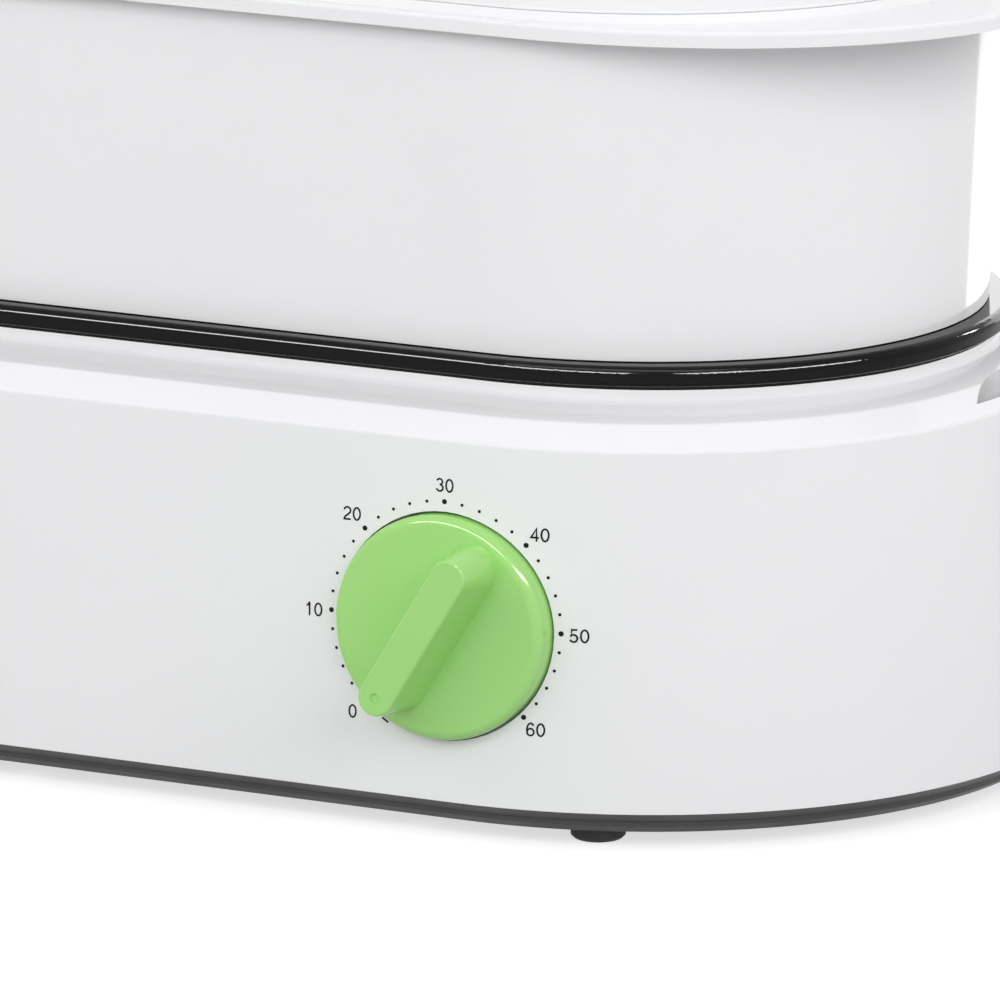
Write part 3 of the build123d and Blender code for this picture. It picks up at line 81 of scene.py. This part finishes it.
# ---------------------------------------------------------------- materials
class Shader:
    """A material with a Principled shader, and short ways to add nodes to it."""

    def __init__(self, name):
        self.material = bpy.data.materials.new(name)
        self.material.use_nodes = True
        self.tree = self.material.node_tree
        self.bsdf = self.tree.nodes["Principled BSDF"]
        self.place = self.tree.nodes.new("ShaderNodeTexCoord").outputs["Object"]

    def node(self, kind, **inputs):
        """A new node; an input is a number, a colour or the output of another node."""
        made = self.tree.nodes.new(kind)
        for name, value in inputs.items():
            self.put(made.inputs[name.replace("_", " ")], value)
        return made

    def put(self, socket, value):
        if isinstance(value, bpy.types.NodeSocket):
            self.tree.links.new(value, socket)
        else:
            socket.default_value = value

    def set(self, **inputs):
        """Sets inputs of the Principled shader."""
        for name, value in inputs.items():
            self.put(self.bsdf.inputs[name.replace("_", " ")], value)

    def stretched(self, x=1.0, y=1.0, z=1.0):
        """The place on the object, scaled along the axes; less than 1 draws a texture out."""
        mapping = self.node("ShaderNodeMapping", Vector=self.place)
        mapping.inputs["Scale"].default_value = (x, y, z)
        return mapping.outputs["Vector"]

    def noise(self, scale, detail=3.0, place=None, rough=0.5):
        """Noise from 0 to 1; scale is in cycles a metre."""
        made = self.node("ShaderNodeTexNoise", Vector=place or self.place, Scale=scale,
                         Detail=detail, Roughness=rough)
        return made.outputs["Fac"]

    def spread(self, value, low, high, start=0.3, end=0.7):
        """Maps a texture's start..end to low..high."""
        made = self.node("ShaderNodeMapRange", Value=value, From_Min=start, From_Max=end,
                         To_Min=low, To_Max=high)
        return made.outputs["Result"]

    def tint(self, factor, low, high):
        """Colour that runs from low to high with the factor."""
        made = self.tree.nodes.new("ShaderNodeMix")
        made.data_type = "RGBA"
        self.put(made.inputs["Factor"], factor)
        made.inputs["A"].default_value = (*low, 1.0)
        made.inputs["B"].default_value = (*high, 1.0)
        for output in made.outputs:
            if output.type == "RGBA":
                return output

    def bump(self, height, strength, distance, normal=None):
        """Bumps of the given height in metres, on top of another bump if one is given."""
        made = self.node("ShaderNodeBump", Height=height, Strength=strength, Distance=distance)
        if normal is not None:
            self.put(made.inputs["Normal"], normal)
        return made.outputs["Normal"]


DRIFT, SHEEN, FLOW, GRAIN = 14.0, 60.0, 38.0, 2600.0    # textures of plastic, cycles a metre
FLOW_DRAWN_OUT = 0.55                                   # flow ripples are longer upwards


def plastic(name, colour, shade, rough, ripple=0.00002, grain=0.0, **inputs):
    """Moulded plastic: slow colour drift, faint flow ripples, and fine grain if it's matt."""
    made = Shader(name)
    made.set(Base_Color=made.tint(made.spread(made.noise(DRIFT, 2.0), 0.0, 1.0), colour, shade),
             Roughness=made.spread(made.noise(SHEEN, 5.0), rough * 0.85, rough * 1.2), **inputs)
    flow = made.noise(FLOW, 2.0, made.stretched(1.0, 1.0, FLOW_DRAWN_OUT))
    normal = made.bump(flow, 0.35, ripple)
    if grain:
        normal = made.bump(made.noise(GRAIN, 2.0), 0.5, grain, normal)
    made.set(Normal=normal)
    return made.material


STAINS = 45.0               # cycles a metre
STREAK_DEPTH = 0.00003


def metal(name, colour, shade, rough, stretch=(1.0, 1.0, 1.0), streak=900.0):
    """Metal with streaks, drawn out along the directions where stretch is under 1."""
    made = Shader(name)
    lines = made.noise(streak, 3.0, made.stretched(*stretch), 0.65)
    stains = made.noise(STAINS, 4.0)
    made.set(Base_Color=made.tint(made.spread(stains, 0.0, 1.0), colour, shade), Metallic=1.0,
             Roughness=made.spread(lines, rough * 0.7, rough * 1.35),
             Normal=made.bump(lines, 0.25, STREAK_DEPTH))
    return made.material


def clear_plastic():
    """Clear moulded plastic with a faint blue edge and a few hazy wipe marks."""
    made = Shader("clear_plastic")
    haze = made.noise(9.0, 4.0, made.stretched(1.0, 2.5, 1.0))
    made.set(Base_Color=(0.975, 0.99, 0.995, 1.0), Transmission_Weight=1.0, IOR=1.40,
             Roughness=made.spread(haze, 0.02, 0.09, 0.45, 0.75),
             Normal=made.bump(made.noise(30.0, 2.0), 0.3, 0.000008))
    return made.material


# Each has a colour, a second colour it drifts to, and its roughness.
white = plastic("white_plastic", (0.845, 0.846, 0.856), (0.835, 0.836, 0.847), 0.09, IOR=1.5)
finishes = {
    "white_plastic": white,
    "tank_plastic": plastic(
        "tank_plastic", (0.74, 0.74, 0.73), (0.71, 0.71, 0.70), 0.32, IOR=1.49),
    "charcoal_plastic": plastic(
        "charcoal_plastic", (0.034, 0.034, 0.036), (0.030, 0.030, 0.032), 0.42, grain=0.00003),
    "black_plastic": plastic(
        "black_plastic", (0.0055, 0.0050, 0.0055), (0.0045, 0.0042, 0.0046), 0.07,
        ripple=0.00001, Specular_IOR_Level=0.12),
    "green_plastic": plastic(
        "green_plastic", (0.352, 0.701, 0.190), (0.343, 0.690, 0.184), 0.10, ripple=0.00001),
    "foot_rubber": plastic(
        "foot_rubber", (0.020, 0.020, 0.020), (0.028, 0.028, 0.028), 0.62, grain=0.00004),
    "silicone": plastic("silicone", (0.68, 0.68, 0.64), (0.62, 0.62, 0.58), 0.45),
    "phenolic": plastic(
        "phenolic", (0.060, 0.042, 0.030), (0.046, 0.034, 0.026), 0.38, grain=0.00003),
    "stainless_steel": metal(
        "stainless_steel", (0.62, 0.62, 0.61), (0.57, 0.57, 0.56), 0.26, (1.0, 1.0, 0.06)),
    "zinc_steel": metal(
        "zinc_steel", (0.60, 0.61, 0.63), (0.50, 0.52, 0.55), 0.34, (1.0, 0.2, 0.2), 400.0),
    "brass": metal("brass", (0.78, 0.58, 0.26), (0.66, 0.47, 0.20), 0.30, (0.2, 1.0, 1.0)),
    "clear_plastic": clear_plastic(),
}
for piece in frame["record"]["subparts"]:
    mesh = nodes[piece["node"]].data
    mesh.materials.clear()
    mesh.materials.append(finishes[piece["material_slot"]])


# ---------------------------------------------------------------- dial print
# The print is a thin ink film on the front wall. Places on it are (right, up) from its
# middle in millimetres, measured along the wall as it leans back.
timer = next(joint for joint in frame["joints"] if joint["name"] == "timer_turn")
LEAN = atan2(-timer["axis"][2], timer["axis"][1])       # the shaft is square to the wall
PRINT_ASIDE, PRINT_RISE = -0.1, 0.8                     # of the print's middle from the shaft
PRINT_X = timer["pos_m"][0] / MM + PRINT_ASIDE
PRINT_Z = timer["pos_m"][2] / MM + PRINT_RISE
WALL_FOOT = reach_of("base_housing", 2, min)
WALL_DEPTH = reach_of("base_housing", 1)
WALL_STRAIGHT = 75.0                                    # half the wall's straight length
WALL_REACH = reach_of("base_housing", 0) - WALL_STRAIGHT
INK_LIFT = 0.04
INK_THICKNESS = 0.02
ink = plastic("ink", (0.006, 0.006, 0.006), (0.009, 0.009, 0.009), 0.55, ripple=0.000004,
              Specular_IOR_Level=0.2)


def on_wall(right, up, lift=INK_LIFT):
    """A place on the print as a point in front of the housing's wall, in metres.

    The wall leans back, and past its straight part it follows half an ellipse.
    """
    x = PRINT_X + right
    z = PRINT_Z + up * cos(LEAN)
    narrowed = tan(LEAN) * (z - WALL_FOOT)
    depth = WALL_DEPTH - narrowed
    if x > WALL_STRAIGHT:
        depth *= sqrt(1 - ((x - WALL_STRAIGHT) / (WALL_REACH - narrowed)) ** 2)
    return Vector((x, -depth - lift, z)) * MM


def ink_from(made, name):
    """A piece of print from a built mesh."""
    bmesh.ops.recalc_face_normals(made, faces=made.faces)
    piece = object_from(made, name, ink)
    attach(piece, "base")


def print_shapes(name, shapes):
    """One printed mark or more; each shape is a list of (right, up) corners."""
    made = bmesh.new()
    for shape in shapes:
        top = [made.verts.new(on_wall(right, up, INK_LIFT + INK_THICKNESS)) for right, up in shape]
        base = [made.verts.new(on_wall(right, up)) for right, up in shape]
        made.faces.new(top)
        for one in range(len(shape)):
            other = (one + 1) % len(shape)
            made.faces.new((top[other], top[one], base[one], base[other]))
    ink_from(made, name)


def ring_point(angle, radius):
    """(right, up) of a place on a ring; angles in degrees, from the right towards the top."""
    return radius * cos(radians(angle)), radius * sin(radians(angle))


def dot(angle, radius, size, corners=20):
    """Outline of a round dot on a ring."""
    right, up = ring_point(angle, radius)
    return [(right + size * cos(2 * pi * n / corners), up + size * sin(2 * pi * n / corners))
            for n in range(corners)]


DOT_RING = 33.5
ZERO_AT = 225.0             # angle of 0 minutes
DEGREES_A_MINUTE = 4.5
LAST_MINUTE, MINUTES_A_DOT, MINUTES_A_FIGURE = 60, 2, 10
BIG_DOT, SMALL_DOT = 0.72, 0.45
print_shapes("dial_dots", [
    dot(ZERO_AT - DEGREES_A_MINUTE * minute, DOT_RING,
        SMALL_DOT if minute % MINUTES_A_FIGURE else BIG_DOT)
    for minute in range(0, LAST_MINUTE + 1, MINUTES_A_DOT)])

ARC_STEP = 12               # degrees


def arc(right, up, half_width, half_height, start, end):
    """Points along part of an oval, in degrees, in steps that suit a digit."""
    steps = max(4, int(abs(end - start) / ARC_STEP))
    angles = [radians(start + (end - start) * n / steps) for n in range(steps + 1)]
    return [(right + half_width * cos(a), up + half_height * sin(a)) for a in angles]


# Each digit is a few pen strokes in a box one unit high, with its lower left at (0, 0).
STROKES = {
    "0": [arc(0.335, 0.5, 0.265, 0.445, 90, 450)],
    "1": [[(0.15, 0.735), (0.25, 0.755), (0.33, 0.83), (0.365, 1.0)],
          [(0.395, 0.0), (0.395, 1.0)]],
    "2": [arc(0.34, 0.70, 0.25, 0.245, 172, -32)
          + [(0.40, 0.415), (0.20, 0.27), (0.105, 0.13), (0.09, 0.055), (0.61, 0.055)]],
    "3": [arc(0.32, 0.735, 0.215, 0.21, 165, -90), arc(0.325, 0.285, 0.255, 0.24, 90, -166)],
    "4": [[(0.475, 0.0), (0.475, 0.95), (0.075, 0.285), (0.645, 0.285)]],
    "5": [[(0.575, 0.945), (0.185, 0.945), (0.125, 0.47)]
          + arc(0.325, 0.315, 0.26, 0.265, 140, -158)],
    "6": [arc(0.345, 0.305, 0.25, 0.255, 180, 540), arc(0.365, 0.50, 0.272, 0.45, 40, 205)],
}
DIGIT_HEIGHT, DIGIT_PEN, DIGIT_PITCH = 3.75, 0.50, 2.85
DIGIT_BOX = 0.67            # width of a digit's box, of its height
STROKE_STEP = 0.004         # each stroke lies this much higher, so no two share a surface
CLOSED_WITHIN = 0.001       # ends of a stroke this near make it a loop
MITRE_LIMIT = 2.0           # longest mitre, in widths of the pen


def pen_line(points, width, closed):
    """Left and right edges of a pen stroke, mitred where it turns."""
    places = [Vector(point) for point in points]
    edges = []
    for n, here in enumerate(places):
        before = places[n - 1] if n or closed else None
        after = places[(n + 1) % len(places)] if n + 1 < len(places) or closed else None
        legs = [leg.normalized() for leg in ((here - before) if before else None,
                                             (after - here) if after else None) if leg]
        along = sum(legs, Vector((0.0, 0.0))).normalized()
        stretch = 1.0 / max(1.0 / MITRE_LIMIT, along.dot(legs[0]))
        side = Vector((-along.y, along.x)) * width / 2 * stretch
        edges.append((here + side, here - side))
    return edges


def print_number(text, right, up):
    """A number with its middle at (right, up)."""
    made = bmesh.new()
    start = right - (DIGIT_PITCH * (len(text) - 1) + DIGIT_HEIGHT * DIGIT_BOX) / 2
    foot = up - DIGIT_HEIGHT / 2
    lift = INK_LIFT
    for place, digit in enumerate(text):
        for stroke in STROKES[digit]:
            lift += STROKE_STEP
            top = lift + INK_THICKNESS
            closed = (Vector(stroke[0]) - Vector(stroke[-1])).length < CLOSED_WITHIN
            points = [(start + place * DIGIT_PITCH + x * DIGIT_HEIGHT, foot + y * DIGIT_HEIGHT)
                      for x, y in (stroke[:-1] if closed else stroke)]
            rows = [[made.verts.new(on_wall(*spot, height)) for spot, height in (
                (one_edge, lift), (one_edge, top), (other_edge, top), (other_edge, lift))]
                for one_edge, other_edge in pen_line(points, DIGIT_PEN, closed)]
            for n in range(len(rows) if closed else len(rows) - 1):
                one, other = rows[n], rows[(n + 1) % len(rows)]
                for a in range(3):          # both sides and the top; the wall hides the rest
                    made.faces.new((one[a], one[a + 1], other[a + 1], other[a]))
            if not closed:
                made.faces.new(rows[0])
                made.faces.new(rows[-1])
    ink_from(made, "dial_number_" + text)


for number, right, up in (("0", -26.8, -27.4), ("10", -38.9, -0.4), ("20", -27.6, 27.3),
                          ("30", 0.0, 38.0), ("40", 27.4, 26.8), ("50", 38.3, -0.4),
                          ("60", 27.0, -26.9)):
    print_number(number, right, up)

# the off mark, a short dash along the ring of dots
OFF_MARK_AT, OFF_MARK_RING = 239.4, 33.35
OFF_MARK_LENGTH, OFF_MARK_WIDTH = 2.2, 0.56
mark = Vector(ring_point(OFF_MARK_AT, OFF_MARK_RING))
along = Vector((-mark.y, mark.x)).normalized() * OFF_MARK_LENGTH / 2
across = mark.normalized() * OFF_MARK_WIDTH / 2
print_shapes("off_mark", [[mark + along + across, mark + along - across,
                           mark - along - across, mark - along + across]])


# ---------------------------------------------------------------- upper bowl's foot bead
# A fine moulded bead around the upper bowl's foot, which nearly closes the gap to the bowl
# below it. The foot's oval is (half length of its straight sides, reach of an end, half depth).
BOWL_FOOT = (70.7, 101.0, 92.4)
FOOT_GAP = 0.3
UPPER_FOOT_Z = reach_of("lower_bowl", 2) + FOOT_GAP
OVAL_STEPS = 48             # of each end
# (outwards, up) from the foot's edge, all around the bead's section
BEAD_SECTION = ((-0.05, 0.70), (0.03, 0.62), (0.12, 0.42), (0.17, 0.15), (0.15, -0.10),
                (0.08, -0.24), (-0.05, -0.27), (-0.30, -0.10), (-0.30, 0.55))


def oval(outline, out, height):
    """Points around an oval moved outwards by out, in metres."""
    straight, reach, depth = outline
    turns = [radians(-90 + 180 * n / OVAL_STEPS) for n in range(OVAL_STEPS + 1)]
    return [Vector((side * (straight + (reach + out) * cos(turn)),
                    side * (depth + out) * sin(turn), height)) * MM
            for side in (1, -1) for turn in turns]


made = bmesh.new()
rings = [[made.verts.new(spot) for spot in oval(BOWL_FOOT, out, UPPER_FOOT_Z + up)]
         for out, up in BEAD_SECTION]
for n, ring in enumerate(rings):
    after = rings[(n + 1) % len(rings)]
    for m in range(len(ring)):
        k = (m + 1) % len(ring)
        made.faces.new((ring[m], ring[k], after[k], after[m]))
bmesh.ops.recalc_face_normals(made, faces=made.faces)
bead = object_from(made, "upper_bowl_foot_bead", white)
for face in bead.data.polygons:
    face.use_smooth = True
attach(bead, "bowl_2")


# ---------------------------------------------------------------- lamps
MIDDLE = (0.0, 0.0, 0.12)
LAMP_DISTANCE = 3.0


def around(azimuth, elevation):
    """Place of a lamp, seen from MIDDLE; azimuth 0 is in front of it, 90 on its right."""
    level = LAMP_DISTANCE * cos(radians(elevation))
    return (level * sin(radians(azimuth)), -level * cos(radians(azimuth)),
            MIDDLE[2] + LAMP_DISTANCE * sin(radians(elevation)))


def area_light(name, place, size, radiance, lights_up, mirrored):
    """Flat lamp that faces MIDDLE; lights_up and mirrored say which rays meet it."""
    data = bpy.data.lights.new(name, "AREA")
    data.shape = "RECTANGLE"
    data.size, data.size_y = size
    data.energy = radiance * pi * size[0] * size[1]
    light = bpy.data.objects.new(name, data)
    scene.collection.objects.link(light)
    light.location = place
    light.rotation_mode = "QUATERNION"
    light.rotation_quaternion = (Vector(MIDDLE) - Vector(place)).to_track_quat("-Z", "Y")
    light.visible_camera = False
    light.visible_diffuse = lights_up
    light.visible_glossy = mirrored
    return light


def group(name, *names):
    """Collection of CAD nodes, which a lamp's light can be linked to."""
    chosen = bpy.data.collections.new(name)
    for node in names:
        chosen.objects.link(nodes[node])
    return chosen


# Soft walls of light all around, brighter in front, which aren't mirrored. The three in front
# shine past the tray, whose edge would draw a hard shadow on the base's neck.
past_tray = group("past_tray", "drip_tray")
past_tray.collection_objects[0].light_linking.link_state = "EXCLUDE"
for name, azimuth, elevation, size, radiance, shines_past in (
        ("soft_left", -48, 33, (2.2, 1.6), 2.30, True),
        ("soft_front", 5, 33, (2.6, 1.6), 2.45, True),
        ("soft_right", 62, 31, (2.2, 1.6), 3.3, True),
        ("soft_far_right", 116, 28, (2.0, 1.6), 2.0, False),
        ("soft_far_left", -104, 30, (2.0, 1.6), 2.3, False),
        ("soft_back", 190, 30, (2.4, 1.4), 3.0, False),
        ("soft_top", 10, 68, (2.2, 1.6), 0.2, False)):
    wall = area_light(name, around(azimuth, elevation), size, radiance, True, False)
    if shines_past:
        wall.light_linking.blocker_collection = past_tray

# Strips and sheets that only show as highlights, on the pieces they are aimed at.
tray_only = group("tray_only", "drip_tray")
green_only = group("green_only", "knob", "lid_handle")
for name, azimuth, elevation, size, radiance, receivers in (
        ("tray_left_strip", -14, 36, (3.1, 0.60), 70.0, tray_only),
        ("tray_right_strip", 64, 34, (2.9, 0.60), 70.0, tray_only),
        ("tray_top_sheet", 10, 72, (2.4, 1.4), 5.0, tray_only),
        ("tray_end_strip", 151, 25, (0.26, 0.40), 60.0, tray_only),
        ("tray_back_sheet", 190, 12, (3.6, 1.3), 2.8, tray_only),
        ("green_left_strip", -14, 36, (3.1, 0.40), 20.0, green_only),
        ("green_right_strip", 64, 34, (2.9, 0.40), 20.0, green_only)):
    strip = area_light(name, around(azimuth, elevation), size, radiance, False, True)
    strip.light_linking.receiver_collection = receivers

# A bright sheet that lies on the floor behind, face up; the bowls' right side mirrors it as a
# pale strip.
CARD_PLACE, CARD_SIZE, CARD_TURN = (0.187, 0.763, 0.004), (0.6, 0.5), 70.65
card = area_light("floor_card", CARD_PLACE, CARD_SIZE, 2.0, False, True)
card.light_linking.receiver_collection = group("bowls_only", "lower_bowl", "upper_bowl")
card.rotation_mode = "XYZ"
card.rotation_euler = (pi, 0.0, radians(CARD_TURN))


# ---------------------------------------------------------------- world and floor
def seen_rays(tree):
    """1 for rays that are seen straight, through clear plastic or as a mirror image."""
    path = tree.nodes.new("ShaderNodeLightPath")
    seen = path.outputs["Is Camera Ray"]
    for kind in ("Is Transmission Ray", "Is Glossy Ray"):
        either = tree.nodes.new("ShaderNodeMath")
        either.operation = "MAXIMUM"
        tree.links.new(seen, either.inputs[0])
        tree.links.new(path.outputs[kind], either.inputs[1])
        seen = either.outputs[0]
    return seen


def emptied(owner):
    """The node tree of a world or a material, without its first nodes."""
    owner.use_nodes = True
    owner.node_tree.nodes.clear()
    return owner.node_tree


def background(tree, colour, strength):
    """An even background of the world."""
    made = tree.nodes.new("ShaderNodeBackground")
    made.inputs["Color"].default_value = colour
    made.inputs["Strength"].default_value = strength
    return made.outputs[0]


def output_by_ray(tree, kind, lighting, seen):
    """Ends a tree: one shader for the rays of light, another for the rays that are seen."""
    mix = tree.nodes.new("ShaderNodeMixShader")
    output = tree.nodes.new(kind)
    tree.links.new(seen_rays(tree), mix.inputs["Fac"])
    tree.links.new(lighting, mix.inputs[1])
    tree.links.new(seen, mix.inputs[2])
    tree.links.new(mix.outputs[0], output.inputs["Surface"])


# the world is white to look at, and only a faint light
world = bpy.data.worlds.new("studio")
scene.world = world
tree = emptied(world)
output_by_ray(tree, "ShaderNodeOutputWorld", background(tree, (0.97, 0.98, 1.0, 1), 0.20),
              background(tree, (1, 1, 1, 1), 1.0))

# The floor is grey to the rays of light. To the eye it also glows, more so far from the
# steamer, so that it is white but keeps the shadow.
FLOOR_HALF, FLOOR_DROP = 9.0, 0.0002
FLOOR_COLOUR = (0.50, 0.50, 0.50, 1)
GLOW_NEAR, GLOW_FAR = (0.9, 0.66), (3.0, 0.96)          # distance and strength of the glow
ground = bpy.data.materials.new("floor")
tree = emptied(ground)
matt = tree.nodes.new("ShaderNodeBsdfDiffuse")
matt.inputs["Color"].default_value = FLOOR_COLOUR
away = tree.nodes.new("ShaderNodeVectorMath")
away.operation = "LENGTH"
tree.links.new(tree.nodes.new("ShaderNodeTexCoord").outputs["Object"], away.inputs[0])
strength = tree.nodes.new("ShaderNodeMapRange")
for name, number in (("From Min", GLOW_NEAR[0]), ("From Max", GLOW_FAR[0]),
                     ("To Min", GLOW_NEAR[1]), ("To Max", GLOW_FAR[1])):
    strength.inputs[name].default_value = number
tree.links.new(away.outputs["Value"], strength.inputs["Value"])
glow = tree.nodes.new("ShaderNodeEmission")
tree.links.new(strength.outputs["Result"], glow.inputs["Strength"])
both = tree.nodes.new("ShaderNodeAddShader")
tree.links.new(matt.outputs[0], both.inputs[0])
tree.links.new(glow.outputs[0], both.inputs[1])
output_by_ray(tree, "ShaderNodeOutputMaterial", matt.outputs[0], both.outputs[0])

grid = bmesh.new()
bmesh.ops.create_grid(grid, x_segments=2, y_segments=2, size=FLOOR_HALF)
floor = object_from(grid, "floor", ground)
floor.location.z = -FLOOR_DROP
